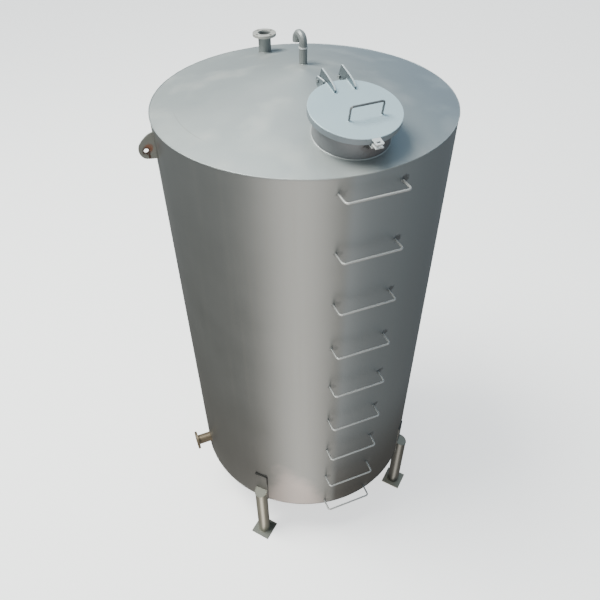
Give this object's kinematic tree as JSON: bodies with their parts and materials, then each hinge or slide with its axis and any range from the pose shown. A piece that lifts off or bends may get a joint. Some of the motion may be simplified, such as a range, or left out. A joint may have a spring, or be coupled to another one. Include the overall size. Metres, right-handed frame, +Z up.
{
  "type": "diesel fuel tank",
  "caption": "Upright round steel diesel tank on pipe legs, with a cone roof, hinged manhole cover, swan-neck vent, flanged nozzles, lifting lugs and ladder rungs.",
  "frame": {"origin": "on the floor under the middle of the tank's overall width and depth; the tank's own axis stands 36 mm behind it (+Y), because the ladder rungs stand out in front", "axes": "+Z up; the ladder and the manhole's hasp side face -Y; the outlet is on the -X side"},
  "size_m": [1.799, 1.6734, 3.524],
  "materials": {
    "tank_paint": "satin silver-grey paint",
    "roof_paint": "satin silver-grey paint, weathered",
    "cover_paint": "satin silver-grey paint",
    "fitting_paint": "satin grey paint with rust",
    "rung_paint": "bright silver paint",
    "pin_steel": "bare worn steel"
  },
  "bodies": {
    "tank": {"tank_shell": "tank_paint", "bottom_plate": "tank_paint", "roof_cone": "roof_paint", "manhole_neck": "tank_paint", "hinge_lug_left": "cover_paint", "hinge_lug_right": "cover_paint", "hinge_pin_left": "pin_steel", "hinge_pin_right": "pin_steel", "hasp_tab_neck": "rung_paint", "roof_nozzle_pipe": "tank_paint", "roof_nozzle_flange": "fitting_paint", "vent_riser": "tank_paint", "vent_collar": "rung_paint", "vent_gooseneck": "tank_paint", "lifting_lug_left": "fitting_paint", "lifting_lug_right": "fitting_paint", "outlet_pipe": "tank_paint", "outlet_flange": "fitting_paint", "leg_pipe_1": "tank_paint", "leg_pad_1": "tank_paint", "leg_base_plate_1": "fitting_paint", "leg_pipe_2": "tank_paint", "leg_pad_2": "tank_paint", "leg_base_plate_2": "fitting_paint", "leg_pipe_3": "tank_paint", "leg_pad_3": "tank_paint", "leg_base_plate_3": "fitting_paint", "leg_pipe_4": "tank_paint", "leg_pad_4": "tank_paint", "leg_base_plate_4": "fitting_paint", "rung_1": "rung_paint", "rung_2": "rung_paint", "rung_3": "rung_paint", "rung_4": "rung_paint", "rung_5": "rung_paint", "rung_6": "rung_paint", "rung_7": "rung_paint", "rung_8": "rung_paint", "rung_9": "rung_paint"},
    "cover": {"cover_plate": "cover_paint", "cover_skirt": "cover_paint", "cover_handle": "cover_paint", "hinge_arm_left": "cover_paint", "hinge_arm_right": "cover_paint", "hasp_tab_cover": "rung_paint"}
  },
  "joints": [
    {"name": "cover_hinge", "type": "hinge", "parent": "tank", "child": "cover", "pos_m": [0.01884, -0.24459, 3.43288], "axis": [-0.9996, -0.0279, 0], "range_deg": [0, 110]}
  ]
}
